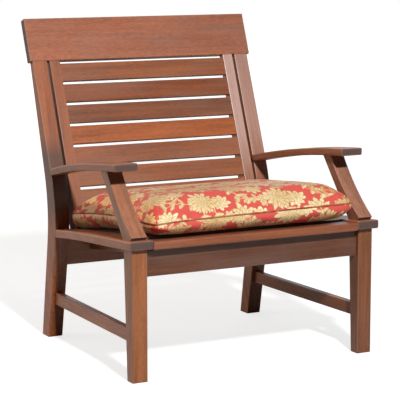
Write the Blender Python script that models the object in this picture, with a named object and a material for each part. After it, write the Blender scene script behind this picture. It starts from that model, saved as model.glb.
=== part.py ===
"""Slat-back wooden patio armchair with one loose, welted seat cushion.

Units are metres and +Z is up. The chair faces -Y, and left is the -X side, as seen from in front.
Side outlines are drawn in a working frame whose y = 0 is the front face of the front legs, and
the finished chair is then centred over the origin, standing on z = 0.
"""
import math

import bmesh
import bpy
from mathutils import Vector

# Fits and edges
FIT = 0.0003                # gap left between pieces that touch
ARRIS = 0.002               # rounding of the sawn edges
ROUND_OVER = 0.004          # rounding of the arms and side boards
ARRIS_STEPS = 2

# Front legs: vertical front face, tapered back face
FRONT_HALF = 0.376          # centre line to the outer face of a front leg
LEG_WIDTH = 0.045
LEG_FOOT_DEPTH = 0.034
LEG_TOP_DEPTH = 0.052
FRONT_INNER = FRONT_HALF - LEG_WIDTH

# Seat: two side boards that fall in a slow curve to the back, with slats between them
SEAT_HEIGHT = 0.3835        # top of the side boards at their front end
SEAT_SLOPE_FRONT = math.radians(3.4)
SEAT_SLOPE_REAR = math.radians(7.0)
SEAT_DEPTH = 0.5065         # where the front of the back meets the seat
BOARD_LEDGE_IN = 0.0125     # side board past the front leg, towards the middle
BOARD_LEDGE_OUT = 0.0125    # and outwards
BOARD_THICK = 0.0245
BOARD_STRAIGHT = 0.09       # front stretch before the outer edge sweeps in
FRONT_OVERHANG = 0.0145
FRONT_SLAT_WIDTH = 0.070
FRONT_SLAT_THICK = 0.022
FRONT_SLAT_DROP = 0.005     # its top below that of the side boards
REAR_SLAT_WIDTH = 0.050
SEAT_SLAT_COUNT = 7
SEAT_SLAT_WIDTH = 0.051
SEAT_SLAT_THICK = 0.018
SEAT_INNER = FRONT_INNER - BOARD_LEDGE_IN

# Back posts: rear leg and back upright sawn from one board
POST_STEP_IN = 0.0155       # outer face of a post inside that of a front leg
POST_WIDTH = 0.045
POST_FOOT_DEPTH = 0.046     # level depth at the floor
POST_KNEE_DEPTH = 0.0585    # level depth where the leg turns into the upright
POST_TOP_DEPTH = 0.0228     # square to the back, under the crest
POST_KICK = 0.074           # how far the foot stands behind the knee
KNEE_OVER_SEAT = 0.0025     # knee over the front of the seat
KNEE_FRONT_RADIUS = 0.35
KNEE_BACK_RADIUS = 0.46
KNEE_STEPS = 9
KNEE_HEIGHT = SEAT_HEIGHT + KNEE_OVER_SEAT
REAR_HALF = FRONT_HALF - POST_STEP_IN
REAR_INNER = REAR_HALF - POST_WIDTH

# Rails under the seat and between the legs
APRON_THICK = 0.022
FRONT_APRON_SETBACK = 0.0134
FRONT_APRON_HEIGHT = 0.0715
REAR_APRON_HEIGHT = 0.084
REAR_APRON_DROP = 0.028     # top of the rear apron under the end of the seat
REAR_APRON_SETBACK = 0.024  # behind the front face of the posts
BEARER_INSET = 0.0895       # side board to the middle of a seat bearer
BEARER_THICK = 0.020
BEARER_HEIGHT = 0.050
BEARER_STEPS = 8
STRETCHER_BOTTOM = 0.1025
STRETCHER_HEIGHT = 0.0355
STRETCHER_THICK = 0.021

# Back: a raked panel of slats between two stiles, under a broad crest
RAKE = math.radians(21.2)
BACK_LENGTH = 0.5075        # seat to underside of the crest, along the rake
CREST_OVERHANG = 0.0085     # past the outer faces of the posts
CREST_HEIGHT = 0.131
CREST_THICK = 0.024
CREST_PROUD = 0.0015        # crest face in front of the posts
STILE_WIDTH = 0.033
STILE_GAP = 0.008           # open slot between post and stile
STILE_TOP_DEPTH = 0.0222
STILE_FOOT_DEPTH = 0.050
STILE_LAP = 0.020           # tail of the stile behind the rear slat
BACK_SLAT_COUNT = 8
BACK_SLAT_GAP = 0.0093
BACK_SLAT_TOP_GAP = 0.0085
BACK_SLAT_FOOT_GAP = 0.0065 # lowest slat over the seat
BACK_SLAT_LOWEST = 0.81     # width of the lowest slat as a share of the others
BACK_SLAT_THICK = 0.0155
BACK_SLAT_SETBACK = 0.003   # slat face behind the stile face
STILE_OUTER = REAR_INNER - STILE_GAP
STILE_INNER = STILE_OUTER - STILE_WIDTH
BACK_SLAT_ROOM = BACK_LENGTH - BACK_SLAT_TOP_GAP - BACK_SLAT_FOOT_GAP - (BACK_SLAT_COUNT - 1) * BACK_SLAT_GAP
BACK_SLAT_WIDTH = BACK_SLAT_ROOM / (BACK_SLAT_COUNT - 1 + BACK_SLAT_LOWEST)

# Arms and the struts that carry them
ARM_RISE = 0.194            # top of the arm's front end over the seat
ARM_FRONT = 0.0757
ARM_LEDGE_IN = 0.0115       # arm past the strut, towards the middle
ARM_LEDGE_OUT = 0.0135      # and outwards
ARM_LAP = 0.003             # arm's rear end past the inner face of the post
ARM_THICK = 0.0212
ARM_STRAIGHT = 0.22         # front stretch before the edges sweep in
ARM_SLOPE_FRONT = math.radians(3.7)
ARM_SLOPE_REAR = math.radians(13.0)
STRUT_HEEL = 0.055
STRUT_TOE_RISE = 0.0085     # height of the toe over the side board
STRUT_TOE_UNDERCUT = 0.009
STRUT_SETBACK = 0.0763      # front of the strut behind the arm's front end
STRUT_TOP_DEPTH = 0.040
STRUT_HOLLOW = 0.0095       # how far the front edge bows in from a straight line
STRUT_STEPS = 8
ARM_HEIGHT = SEAT_HEIGHT + ARM_RISE
ARM_INNER = FRONT_INNER - ARM_LEDGE_IN
STRUT_TOP = ARM_FRONT + STRUT_SETBACK

# Tenons: shoulder all round, and length
SLAT_TENON = (0.0035, 0.010)
SEAT_SLAT_TENON = (0.0045, 0.010)
FRONT_SLAT_TENON = (0.006, 0.010)
RAIL_TENON = (0.005, 0.016)
BOARD_TENON = (0.006, 0.016)
ARM_TENON = (0.0065, 0.016)
STUB_TENON = (0.008, 0.0075)
BEARER_TENON = (0.0045, 0.008)
POST_TENON = (0.0055, 0.024)
STILE_TENON = (0.0045, 0.018)
STILE_FOOT_TENON = (0.008, 0.011)

# Cushion: two crowned panels sewn at a welted edge
CUSHION_SIDE_GAP = 0.0025   # cushion to strut
CUSHION_BACK_GAP = 0.0043   # seam to the front of the back
CUSHION_FRONT = 0.0115
CUSHION_SEAM = 0.0445       # seam height over the seat
CUSHION_THICK = 0.107
CUSHION_CORNER = 0.030      # corner radius
CUSHION_DRAW_SIDE = 0.015   # how far the sides draw in between the corners
CUSHION_DRAW_FRONT = 0.004  # the same for the front and back edges
CUSHION_TOP_FULLNESS = 7.0  # higher is fuller towards the edges
CUSHION_BASE_FULLNESS = 6.0
CUSHION_STEPS_X = 28
CUSHION_STEPS_Y = 22
CUSHION_HALF = FRONT_INNER - CUSHION_SIDE_GAP
CUSHION_REAR = SEAT_DEPTH + CUSHION_SEAM * math.tan(RAKE) - CUSHION_BACK_GAP
CUSHION_DEPTH = CUSHION_REAR - CUSHION_FRONT

SWEEP_STEPS = 14            # sections along a curved board
SHARP = math.radians(25)    # edges turning more than this are arrises
MORTISE_LEAD = 0.001        # a mortise cutter starts this far outside the face


def clear_scene():
    for old in list(bpy.data.objects):
        bpy.data.objects.remove(old, do_unlink=True)


def finish_material(name, colour, roughness):
    """Principled material with a plain colour."""
    made = bpy.data.materials.new(name)
    made.use_nodes = True
    shader = made.node_tree.nodes["Principled BSDF"]
    shader.inputs["Base Color"].default_value = (*colour, 1.0)
    shader.inputs["Roughness"].default_value = roughness
    shader.inputs["Metallic"].default_value = 0.0
    return made


WOOD_COLOUR = (0.23, 0.085, 0.040)
WOOD_ROUGHNESS = 0.42
FABRIC_COLOUR = (0.55, 0.10, 0.075)
FABRIC_ROUGHNESS = 0.85


# Outlines

def fall(y, start, height, slope_from, slope_to, run):
    """Height of a board whose slope grows evenly from slope_from to slope_to over its run."""
    along = y - start
    steepening = math.tan(slope_to) - math.tan(slope_from)
    return height - math.tan(slope_from) * along - steepening * along * along / (2.0 * run)


def sweep_in(y, front_x, rear_x, y_from, y_to):
    """Outer edge of an arm or side board: straight at the front, then an easy S to the post."""
    share = min(max((y - y_from) / (y_to - y_from), 0.0), 1.0)
    return front_x + (rear_x - front_x) * share * share * (3.0 - 2.0 * share)


def seat_top(y):
    return fall(y, -FRONT_OVERHANG, SEAT_HEIGHT, SEAT_SLOPE_FRONT, SEAT_SLOPE_REAR, SEAT_DEPTH)


def seat_angle(y):
    step = 0.001
    return math.atan2(seat_top(y) - seat_top(y + step), step)


BACK_FOOT = (SEAT_DEPTH, seat_top(SEAT_DEPTH))


def on_back(along, behind):
    """Point (y, z) of the raked back: distance up from the seat, and behind the front plane."""
    y = BACK_FOOT[0] + along * math.sin(RAKE) + behind * math.cos(RAKE)
    z = BACK_FOOT[1] + along * math.cos(RAKE) - behind * math.sin(RAKE)
    return y, z


def crossing(a, b, c, d):
    """Where the line through a and b meets the line through c and d, as (y, z)."""
    ay, az = b[0] - a[0], b[1] - a[1]
    cy, cz = d[0] - c[0], d[1] - c[1]
    share = ((c[0] - a[0]) * cz - (c[1] - a[1]) * cy) / (ay * cz - az * cy)
    return a[0] + share * ay, a[1] + share * az


def rounded_corner(before, corner, after, radius, steps):
    """Points of the arc that rounds a corner of an outline."""
    into = (Vector(before) - Vector(corner)).normalized()
    out = (Vector(after) - Vector(corner)).normalized()
    half = into.angle(out) / 2.0
    reach = radius / math.tan(half)
    centre = Vector(corner) + (into + out).normalized() * (radius / math.sin(half))
    first = Vector(corner) + into * reach - centre
    last = Vector(corner) + out * reach - centre
    turn = math.atan2(first.x * last.y - first.y * last.x, first.dot(last))
    points = []
    for step in range(steps + 1):
        angle = turn * step / steps
        c, s = math.cos(angle), math.sin(angle)
        points.append((centre.x + first.x * c - first.y * s, centre.y + first.x * s + first.y * c))
    return points


def post_edges():
    """Front and back edges of a back post, both from the floor up to its shoulder at the crest."""
    knee = crossing(on_back(0, 0), on_back(1, 0), (0, KNEE_HEIGHT), (1, KNEE_HEIGHT))
    foot = (knee[0] + POST_KICK, 0.0)
    top = on_back(BACK_LENGTH - FIT, 0)
    back_foot = (foot[0] + POST_FOOT_DEPTH, 0.0)
    back_knee = (knee[0] + POST_KNEE_DEPTH, KNEE_HEIGHT)
    back_top = on_back(BACK_LENGTH - FIT, POST_TOP_DEPTH)
    front = [foot, *rounded_corner(foot, knee, top, KNEE_FRONT_RADIUS, KNEE_STEPS), top]
    back = [back_foot, *rounded_corner(back_foot, back_knee, back_top, KNEE_BACK_RADIUS, KNEE_STEPS)]
    return front, [*back, back_top]


POST_FRONT, POST_BACK = post_edges()


def post_front_y(z):
    """Front face of a back post at a height."""
    for low, high in zip(POST_FRONT, POST_FRONT[1:]):
        if low[1] <= z <= high[1]:
            return low[0] + (high[0] - low[0]) * (z - low[1]) / (high[1] - low[1])
    return POST_FRONT[-1][0]


def seat_end():
    """Rear end of the side boards: square, against the foremost point of the posts."""
    heights = [seat_top(SEAT_DEPTH) - BOARD_THICK * step / 6.0 for step in range(-1, 9)]
    return min(post_front_y(z) for z in heights) - FIT


SEAT_END = seat_end()
REAR_APRON_TOP = seat_top(SEAT_END) - REAR_APRON_DROP
REAR_APRON_FACE = post_front_y(REAR_APRON_TOP) + REAR_APRON_SETBACK


def arm_top(y):
    run = post_front_y(ARM_HEIGHT - ARM_THICK) - ARM_FRONT
    return fall(y, ARM_FRONT, ARM_HEIGHT, ARM_SLOPE_FRONT, ARM_SLOPE_REAR, run)


def arm_end(drop):
    """Where a line of the arm, drop below its top, reaches the post."""
    y = post_front_y(ARM_HEIGHT)
    for _ in range(30):
        y = post_front_y(arm_top(y) - drop) - FIT / math.cos(RAKE)
    return y


def leg_back_y(z):
    """Tapered back face of a front leg."""
    return LEG_FOOT_DEPTH + (LEG_TOP_DEPTH - LEG_FOOT_DEPTH) * z / (SEAT_HEIGHT - BOARD_THICK)


# Solids

def closed(bm):
    bmesh.ops.recalc_face_normals(bm, faces=bm.faces[:])
    return bm


def prism(outline, x_from, x_to):
    """Solid of a side outline of (y, z) points, carried across from x_from to x_to."""
    bm = bmesh.new()
    face = bm.faces.new([bm.verts.new((x_from, y, z)) for y, z in outline])
    grown = bmesh.ops.extrude_face_region(bm, geom=[face])["geom"]
    moved = [item for item in grown if isinstance(item, bmesh.types.BMVert)]
    bmesh.ops.translate(bm, verts=moved, vec=(x_to - x_from, 0.0, 0.0))
    return closed(bm)


def loft(sections):
    """Solid through a row of four-cornered sections."""
    bm = bmesh.new()
    rings = [[bm.verts.new(corner) for corner in section] for section in sections]
    for ring, following in zip(rings, rings[1:]):
        for i in range(4):
            j = (i + 1) % 4
            bm.faces.new((ring[i], ring[j], following[j], following[i]))
    bm.faces.new(rings[0])
    bm.faces.new(rings[-1])
    return closed(bm)


def end_face(bm, direction):
    """The end of a piece: the face that looks most nearly along a direction, the furthest first."""
    heading = Vector(direction).normalized()
    facing = [face for face in bm.faces if face.normal.dot(heading) > 0.9]
    return max(facing, key=lambda face: face.calc_center_median().dot(heading))


def arrises(bm, joint_faces):
    """Sharp edges of a piece, apart from those round the faces that seat on another piece."""
    seats = set(joint_faces)
    return [edge for edge in bm.edges
            if edge.calc_face_angle(0.0) > SHARP and not seats.intersection(edge.link_faces)]


def cut_tenon(bm, face, shape):
    """Cuts a shouldered tenon on an end face, and returns its root corners, normal and length."""
    shoulder, length = shape
    normal = face.normal.copy()
    bmesh.ops.inset_region(bm, faces=[face], thickness=shoulder, use_even_offset=True)
    root = [vert.co.copy() for vert in face.verts]
    tip = bmesh.ops.extrude_discrete_faces(bm, faces=[face])["faces"][0]
    bmesh.ops.translate(bm, verts=tip.verts[:], vec=normal * length)
    return root, normal, length


def widened(corners, normal, by):
    """Corners of a convex face, moved out so that every edge moves by the same amount."""
    moved = []
    for before, corner, after in zip(corners[-1:] + corners[:-1], corners, corners[1:] + corners[:1]):
        one = (corner - before).cross(normal).normalized()
        other = (after - corner).cross(normal).normalized()
        moved.append(corner + (one + other) * (by / (1.0 + one.dot(other))))
    return moved


def mortise(tenon):
    """Cutter for a tenon: its shape with the fit all round, led out past the face."""
    root, normal, length = tenon
    bm = bmesh.new()
    mouth = [corner - normal * MORTISE_LEAD for corner in widened(root, normal, FIT)]
    face = bm.faces.new([bm.verts.new(corner) for corner in mouth])
    grown = bmesh.ops.extrude_face_region(bm, geom=[face])["geom"]
    moved = [item for item in grown if isinstance(item, bmesh.types.BMVert)]
    bmesh.ops.translate(bm, verts=moved, vec=normal * (MORTISE_LEAD + length + FIT))
    return closed(bm)


def wooden(name, bm, joints=(), rounding=ARRIS):
    """Rounds the arrises, cuts the tenons and adds the piece; joints are (direction, shape) pairs.

    A joint with no shape is a plain end that seats on its neighbour. Returns the tenons.
    """
    ends = [(end_face(bm, direction), shape) for direction, shape in joints]
    edges = arrises(bm, [face for face, _ in ends])
    tenons = [cut_tenon(bm, face, shape) for face, shape in ends if shape]
    bmesh.ops.bevel(bm, geom=edges, offset=rounding, segments=ARRIS_STEPS, profile=0.5,
                    affect="EDGES", clamp_overlap=True)
    add_piece(name, closed(bm), finish_material(name + "_wood", WOOD_COLOUR, WOOD_ROUGHNESS))
    return tenons


def add_piece(name, bm, finish):
    mesh = bpy.data.meshes.new(name)
    bm.to_mesh(mesh)
    bm.free()
    mesh.materials.append(finish)
    piece = bpy.data.objects.new(name, mesh)
    piece.parent = chair
    bpy.context.scene.collection.objects.link(piece)
    return piece


def chop_mortises(name, tenons):
    """Cuts the mortises for a set of tenons into a piece."""
    cutters = bmesh.new()
    for tenon in tenons:
        cutter = mortise(tenon)
        loose = bpy.data.meshes.new(name + "_mortise")
        cutter.to_mesh(loose)
        cutter.free()
        cutters.from_mesh(loose)
        bpy.data.meshes.remove(loose)
    mesh = bpy.data.meshes.new(name + "_mortises")
    cutters.to_mesh(mesh)
    cutters.free()
    tool = bpy.data.objects.new(name + "_mortises", mesh)
    tool.parent = chair
    tool.hide_render = True
    tool.display_type = "WIRE"
    bpy.context.scene.collection.objects.link(tool)
    cut = bpy.data.objects[name].modifiers.new("mortises", "BOOLEAN")
    cut.operation = "DIFFERENCE"
    cut.solver = "EXACT"
    cut.object = tool


# Pieces, in the order the chair goes together

def front_leg(name, side):
    """Tapered leg; its top is cut to the fall of the seat and tenoned into the side board."""
    outer = side * FRONT_HALF
    inner = side * FRONT_INNER
    drop = BOARD_THICK + FIT
    outline = [(0.0, 0.0), (0.0, seat_top(0.0) - drop), (LEG_TOP_DEPTH, seat_top(LEG_TOP_DEPTH) - drop)]
    return wooden(name, prism([*outline, (LEG_FOOT_DEPTH, 0.0)], inner, outer), [((0, 0, 1), STUB_TENON)])


def back_post(name, side):
    """Rear leg and upright in one, bowed at the seat, with a tenon up into the crest."""
    outer = side * REAR_HALF
    inner = side * REAR_INNER
    up = (0.0, math.sin(RAKE), math.cos(RAKE))
    return wooden(name, prism([*POST_FRONT, *reversed(POST_BACK)], inner, outer), [(up, POST_TENON)])


def cross_rail(name, half, y, top, height):
    """Apron between a pair of legs, tenoned at both ends."""
    bottom = top - height
    outline = [(y, bottom), (y, top), (y + APRON_THICK, top), (y + APRON_THICK, bottom)]
    rail = prism(outline, -half + FIT, half - FIT)
    return wooden(name, rail, [((-1, 0, 0), RAIL_TENON), ((1, 0, 0), RAIL_TENON)])


def side_stretcher(name, side):
    """Low rail from the back of a front leg to the front of a back post, following their centres."""
    low, high = STRETCHER_BOTTOM, STRETCHER_BOTTOM + STRETCHER_HEIGHT
    sections = []
    for middle, face_y, gap in ((FRONT_HALF - LEG_WIDTH / 2.0, leg_back_y, FIT),
                                (REAR_HALF - POST_WIDTH / 2.0, post_front_y, -FIT)):
        near = side * (middle - STRETCHER_THICK / 2.0)
        far = side * (middle + STRETCHER_THICK / 2.0)
        sections.append([(near, face_y(low) + gap, low), (far, face_y(low) + gap, low),
                         (far, face_y(high) + gap, high), (near, face_y(high) + gap, high)])
    return wooden(name, loft(sections), [((0, -1, 0), RAIL_TENON), ((0, 1, 0), RAIL_TENON)])


def seat_side_board(name, side):
    """Long board over the front leg, swept in to the width of the post, falling to the back."""
    sections = []
    for step in range(SWEEP_STEPS + 1):
        y = -FRONT_OVERHANG + (SEAT_END + FRONT_OVERHANG) * step / SWEEP_STEPS
        outer = sweep_in(y, FRONT_HALF + BOARD_LEDGE_OUT, REAR_HALF, BOARD_STRAIGHT, SEAT_END)
        top = seat_top(y)
        sections.append([(side * SEAT_INNER, y, top), (side * outer, y, top),
                         (side * outer, y, top - BOARD_THICK), (side * SEAT_INNER, y, top - BOARD_THICK)])
    return wooden(name, loft(sections), [((0, 1, 0), BOARD_TENON)], ROUND_OVER)


def slat_outline(y, width, thick):
    """Section of a seat slat that lies on the fall of the seat, centred at y."""
    angle = seat_angle(y)
    along = Vector((math.cos(angle), -math.sin(angle)))
    down = Vector((-math.sin(angle), -math.cos(angle)))
    middle = Vector((y, seat_top(y)))
    corners = [middle - along * width / 2.0, middle + along * width / 2.0]
    return [tuple(corner) for corner in (*corners, corners[1] + down * thick, corners[0] + down * thick)]


def seat_slat(name, outline, tenon=SEAT_SLAT_TENON, rounding=ARRIS):
    """Seat slat between the side boards, tenoned into both."""
    slat = prism(outline, -SEAT_INNER + FIT, SEAT_INNER - FIT)
    return wooden(name, slat, [((-1, 0, 0), tenon), ((1, 0, 0), tenon)], rounding)


def front_slat_under(y):
    return seat_top(y) - FRONT_SLAT_DROP - FRONT_SLAT_THICK


def front_slat_outline():
    """The front slat is flush with the ends of the side boards, and set a little lower than they are."""
    front, rear = -FRONT_OVERHANG, -FRONT_OVERHANG + FRONT_SLAT_WIDTH
    return [(front, seat_top(front) - FRONT_SLAT_DROP), (rear, seat_top(rear) - FRONT_SLAT_DROP),
            (rear, front_slat_under(rear)), (front, front_slat_under(front))]


def rear_slat_outline():
    """The rear slat carries the stiles of the back."""
    return slat_outline(SEAT_END - REAR_SLAT_WIDTH / 2.0, REAR_SLAT_WIDTH, BOARD_THICK)


def seat_bearer(name, side):
    """Rail under the slats from apron to apron, notched down for the thicker end slats."""
    front = FRONT_APRON_SETBACK + APRON_THICK + FIT
    rear = REAR_APRON_FACE - FIT
    under_rear, under_front = rear_slat_outline()[2:]
    front_notch = -FRONT_OVERHANG + FRONT_SLAT_WIDTH + FIT
    rear_notch = under_front[0] - FIT

    def under_slats(y):
        return y, seat_top(y) - SEAT_SLAT_THICK / math.cos(seat_angle(y)) - FIT

    def under_rear_slat(y):
        return y, crossing(under_front, under_rear, (y, 0.0), (y, 1.0))[1] - FIT

    outline = [(y, front_slat_under(y) - FIT) for y in (front, front_notch)]
    for step in range(BEARER_STEPS + 1):
        outline.append(under_slats(front_notch + (rear_notch - front_notch) * step / BEARER_STEPS))
    outline += [under_rear_slat(rear_notch), under_rear_slat(rear)]
    for step in range(BEARER_STEPS + 1):
        y, z = under_slats(rear + (front - rear) * step / BEARER_STEPS)
        outline.append((y, z - BEARER_HEIGHT))
    middle = side * (SEAT_INNER - BEARER_INSET)
    rail = prism(outline, middle - BEARER_THICK / 2.0, middle + BEARER_THICK / 2.0)
    return wooden(name, rail, [((0, -1, 0), BEARER_TENON), ((0, 1, 0), BEARER_TENON)])


def back_stile(name, side):
    """Inner upright of the back, tapered behind, tenoned into the crest and the rear slat, which it laps."""
    slat = rear_slat_outline()
    seat = [(y - FIT * math.sin(RAKE), z + FIT) for y, z in slat[:2]]
    front_top = on_back(BACK_LENGTH - FIT, 0)
    back_top = on_back(BACK_LENGTH - FIT, STILE_TOP_DEPTH)
    front_foot = crossing(on_back(0, 0), front_top, *seat)
    back_foot = crossing(on_back(0, STILE_FOOT_DEPTH), back_top, *seat)
    behind_slat = crossing(*seat, (SEAT_END + FIT, 0.0), (SEAT_END + FIT, 1.0))
    tail = (behind_slat[0], behind_slat[1] - STILE_LAP)
    outline = [front_foot, front_top, back_top, back_foot, tail, behind_slat]
    up = (0.0, math.sin(RAKE), math.cos(RAKE))
    stile = prism(outline, side * STILE_INNER, side * STILE_OUTER)
    return wooden(name, stile, [(up, STILE_TENON), ((0, 0, -1), STILE_FOOT_TENON)])


def back_slat(name, number):
    """Back slat between the stiles, tenoned into both; the lowest is ripped narrower."""
    high = BACK_LENGTH - BACK_SLAT_TOP_GAP - number * (BACK_SLAT_WIDTH + BACK_SLAT_GAP)
    low = max(high - BACK_SLAT_WIDTH, BACK_SLAT_FOOT_GAP)
    face, rear = BACK_SLAT_SETBACK, BACK_SLAT_SETBACK + BACK_SLAT_THICK
    outline = [on_back(low, face), on_back(high, face), on_back(high, rear), on_back(low, rear)]
    slat = prism(outline, -STILE_INNER + FIT, STILE_INNER - FIT)
    return wooden(name, slat, [((-1, 0, 0), SLAT_TENON), ((1, 0, 0), SLAT_TENON)])


def crest_board(name):
    """Broad top rail that caps the posts and stiles."""
    low, high = BACK_LENGTH, BACK_LENGTH + CREST_HEIGHT
    face, rear = -CREST_PROUD, CREST_THICK - CREST_PROUD
    outline = [on_back(low, face), on_back(high, face), on_back(high, rear), on_back(low, rear)]
    half = REAR_HALF + CREST_OVERHANG
    wooden(name, prism(outline, -half, half))


def arm(name, side):
    """Arched arm, broad at the front and swept in to the post, tenoned into the post's face."""
    sections = []
    top_end, low_end = arm_end(0.0), arm_end(ARM_THICK)
    for step in range(SWEEP_STEPS + 1):
        share = step / SWEEP_STEPS
        high_y = ARM_FRONT + (top_end - ARM_FRONT) * share
        low_y = ARM_FRONT + (low_end - ARM_FRONT) * share
        outer = sweep_in(high_y, FRONT_HALF + ARM_LEDGE_OUT, REAR_HALF, ARM_FRONT + ARM_STRAIGHT, top_end)
        inner = sweep_in(high_y, ARM_INNER, REAR_INNER - ARM_LAP, ARM_FRONT + ARM_STRAIGHT, top_end)
        sections.append([(side * inner, high_y, arm_top(high_y)), (side * outer, high_y, arm_top(high_y)),
                         (side * outer, low_y, arm_top(low_y) - ARM_THICK),
                         (side * inner, low_y, arm_top(low_y) - ARM_THICK)])
    into_post = (0.0, math.cos(RAKE), -math.sin(RAKE))
    return wooden(name, loft(sections), [(into_post, ARM_TENON)], ROUND_OVER)


def arm_strut(name, side):
    """Raked strut over the front leg: hollow front edge, straight back, undercut toe, two stub tenons."""
    outer = side * FRONT_HALF
    inner = side * FRONT_INNER
    heel = (STRUT_HEEL, seat_top(STRUT_HEEL) + FIT)
    under_toe = (STRUT_TOE_UNDERCUT, seat_top(STRUT_TOE_UNDERCUT) + FIT)
    toe = (0.0, seat_top(0.0) + STRUT_TOE_RISE)
    drop = ARM_THICK + 2 * FIT
    top_front = (STRUT_TOP, arm_top(STRUT_TOP) - drop)
    top_back = (STRUT_TOP + STRUT_TOP_DEPTH, arm_top(STRUT_TOP + STRUT_TOP_DEPTH) - drop)
    chord = Vector(top_front) - Vector(toe)
    inward = Vector((chord.y, -chord.x)).normalized()
    front = []
    for step in range(STRUT_STEPS + 1):
        share = step / STRUT_STEPS
        bow = 4.0 * STRUT_HOLLOW * share * (1.0 - share)
        front.append(tuple(Vector(toe) + chord * share + inward * bow))
    strut = prism([heel, under_toe, *front, top_back], inner, outer)
    return wooden(name, strut, [((0, 0, -1), STUB_TENON), ((0, 0, 1), STUB_TENON)])


def cushion_edge(u, v):
    """Plan position of a point of the square -1..1: rounded corners, sides drawn in between them."""
    half_y = CUSHION_DEPTH / 2.0
    x = u * (CUSHION_HALF - CUSHION_DRAW_SIDE * (1.0 - v * v) * u * u)
    y = v * (half_y - CUSHION_DRAW_FRONT * (1.0 - u * u) * v * v)
    corner = CUSHION_CORNER * (1.0 - math.sqrt(0.5)) * (u * v) ** 12
    return x - math.copysign(corner, u), CUSHION_FRONT + half_y + y - math.copysign(corner, v)


def swell(u, v, fullness):
    """Puff of a panel: nothing at the seam, full in the middle."""
    return math.sqrt((1.0 - abs(u) ** fullness) * (1.0 - abs(v) ** fullness))


def seat_cushion(name):
    """Loose knife-edge cushion: a crowned top and a flatter base that meet at the seam."""
    bm = bmesh.new()
    rims = {}
    layers = []
    for top in (True, False):
        grid = []
        for i in range(CUSHION_STEPS_X + 1):
            row = []
            u = math.sin(math.pi / 2.0 * (2.0 * i / CUSHION_STEPS_X - 1.0))
            for j in range(CUSHION_STEPS_Y + 1):
                if (i, j) in rims:
                    row.append(rims[i, j])
                    continue
                v = math.sin(math.pi / 2.0 * (2.0 * j / CUSHION_STEPS_Y - 1.0))
                x, y = cushion_edge(u, v)
                if top:
                    lift = CUSHION_SEAM + (CUSHION_THICK - CUSHION_SEAM) * swell(u, v, CUSHION_TOP_FULLNESS)
                else:
                    lift = CUSHION_SEAM * (1.0 - swell(u, v, CUSHION_BASE_FULLNESS)) + FIT
                vert = bm.verts.new((x, y, seat_top(y) + lift))
                row.append(vert)
                if i in (0, CUSHION_STEPS_X) or j in (0, CUSHION_STEPS_Y):
                    rims[i, j] = vert
            grid.append(row)
        layers.append(grid)
    for grid, turn in zip(layers, (1, -1)):
        for i in range(CUSHION_STEPS_X):
            for j in range(CUSHION_STEPS_Y):
                cell = (grid[i][j], grid[i + 1][j], grid[i + 1][j + 1], grid[i][j + 1])
                bm.faces.new(cell[::turn])
    piece = add_piece(name, bm, finish_material(name + "_fabric", FABRIC_COLOUR, FABRIC_ROUGHNESS))
    piece.data.shade_smooth()


clear_scene()
chair = bpy.data.objects.new("chair", None)
bpy.context.scene.collection.objects.link(chair)

crest_board("crest_board")
front_apron_top = front_slat_under(FRONT_APRON_SETBACK + APRON_THICK) - FIT
front_apron_tenons = cross_rail("front_apron", FRONT_INNER, FRONT_APRON_SETBACK,
                                front_apron_top, FRONT_APRON_HEIGHT)
rear_apron_tenons = cross_rail("rear_apron", REAR_INNER, REAR_APRON_FACE,
                               REAR_APRON_TOP, REAR_APRON_HEIGHT)

slat_tenons = [seat_slat("seat_front_slat", front_slat_outline(), FRONT_SLAT_TENON, ROUND_OVER)]
slats_from = -FRONT_OVERHANG + FRONT_SLAT_WIDTH
slats_room = SEAT_END - REAR_SLAT_WIDTH - slats_from
slats_gap = (slats_room - SEAT_SLAT_COUNT * SEAT_SLAT_WIDTH) / (SEAT_SLAT_COUNT + 1)
for number in range(SEAT_SLAT_COUNT):
    middle_y = slats_from + slats_gap + SEAT_SLAT_WIDTH / 2.0 + number * (SEAT_SLAT_WIDTH + slats_gap)
    slat_tenons.append(seat_slat(f"seat_slat_{number + 1}",
                                 slat_outline(middle_y, SEAT_SLAT_WIDTH, SEAT_SLAT_THICK)))
slat_tenons.append(seat_slat("seat_rear_slat", rear_slat_outline()))

back_tenons = [back_slat(f"back_slat_{number + 1}", number) for number in range(BACK_SLAT_COUNT)]

crest_tenons = []
rear_slat_tenons = []
apron_bearer_tenons = {"front_apron": [], "rear_apron": []}
for side_name, side, end in (("left", -1, 0), ("right", 1, 1)):
    leg_tenons = front_leg(f"front_leg_{side_name}", side)
    post_tenons = back_post(f"back_post_{side_name}", side)
    stretcher_tenons = side_stretcher(f"side_stretcher_{side_name}", side)
    board_tenons = seat_side_board(f"seat_side_board_{side_name}", side)
    bearer_tenons = seat_bearer(f"seat_bearer_{side_name}", side)
    stile_tenons = back_stile(f"back_stile_{side_name}", side)
    arm_tenons = arm(f"arm_{side_name}", side)
    strut_tenons = arm_strut(f"arm_strut_{side_name}", side)

    crest_tenons += [post_tenons[0], stile_tenons[0]]
    rear_slat_tenons.append(stile_tenons[1])
    apron_bearer_tenons["front_apron"].append(bearer_tenons[0])
    apron_bearer_tenons["rear_apron"].append(bearer_tenons[1])
    chop_mortises(f"front_leg_{side_name}", [front_apron_tenons[end], stretcher_tenons[0]])
    chop_mortises(f"back_post_{side_name}", [rear_apron_tenons[end], stretcher_tenons[1],
                                             board_tenons[0], arm_tenons[0]])
    chop_mortises(f"seat_side_board_{side_name}", [leg_tenons[0], strut_tenons[0],
                                                   *[tenons[end] for tenons in slat_tenons]])
    chop_mortises(f"back_stile_{side_name}", [tenons[end] for tenons in back_tenons])
    chop_mortises(f"arm_{side_name}", [strut_tenons[1]])

chop_mortises("crest_board", crest_tenons)
chop_mortises("seat_rear_slat", rear_slat_tenons)
for rail_name, tenons in apron_bearer_tenons.items():
    chop_mortises(rail_name, tenons)

seat_cushion("seat_cushion")

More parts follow.
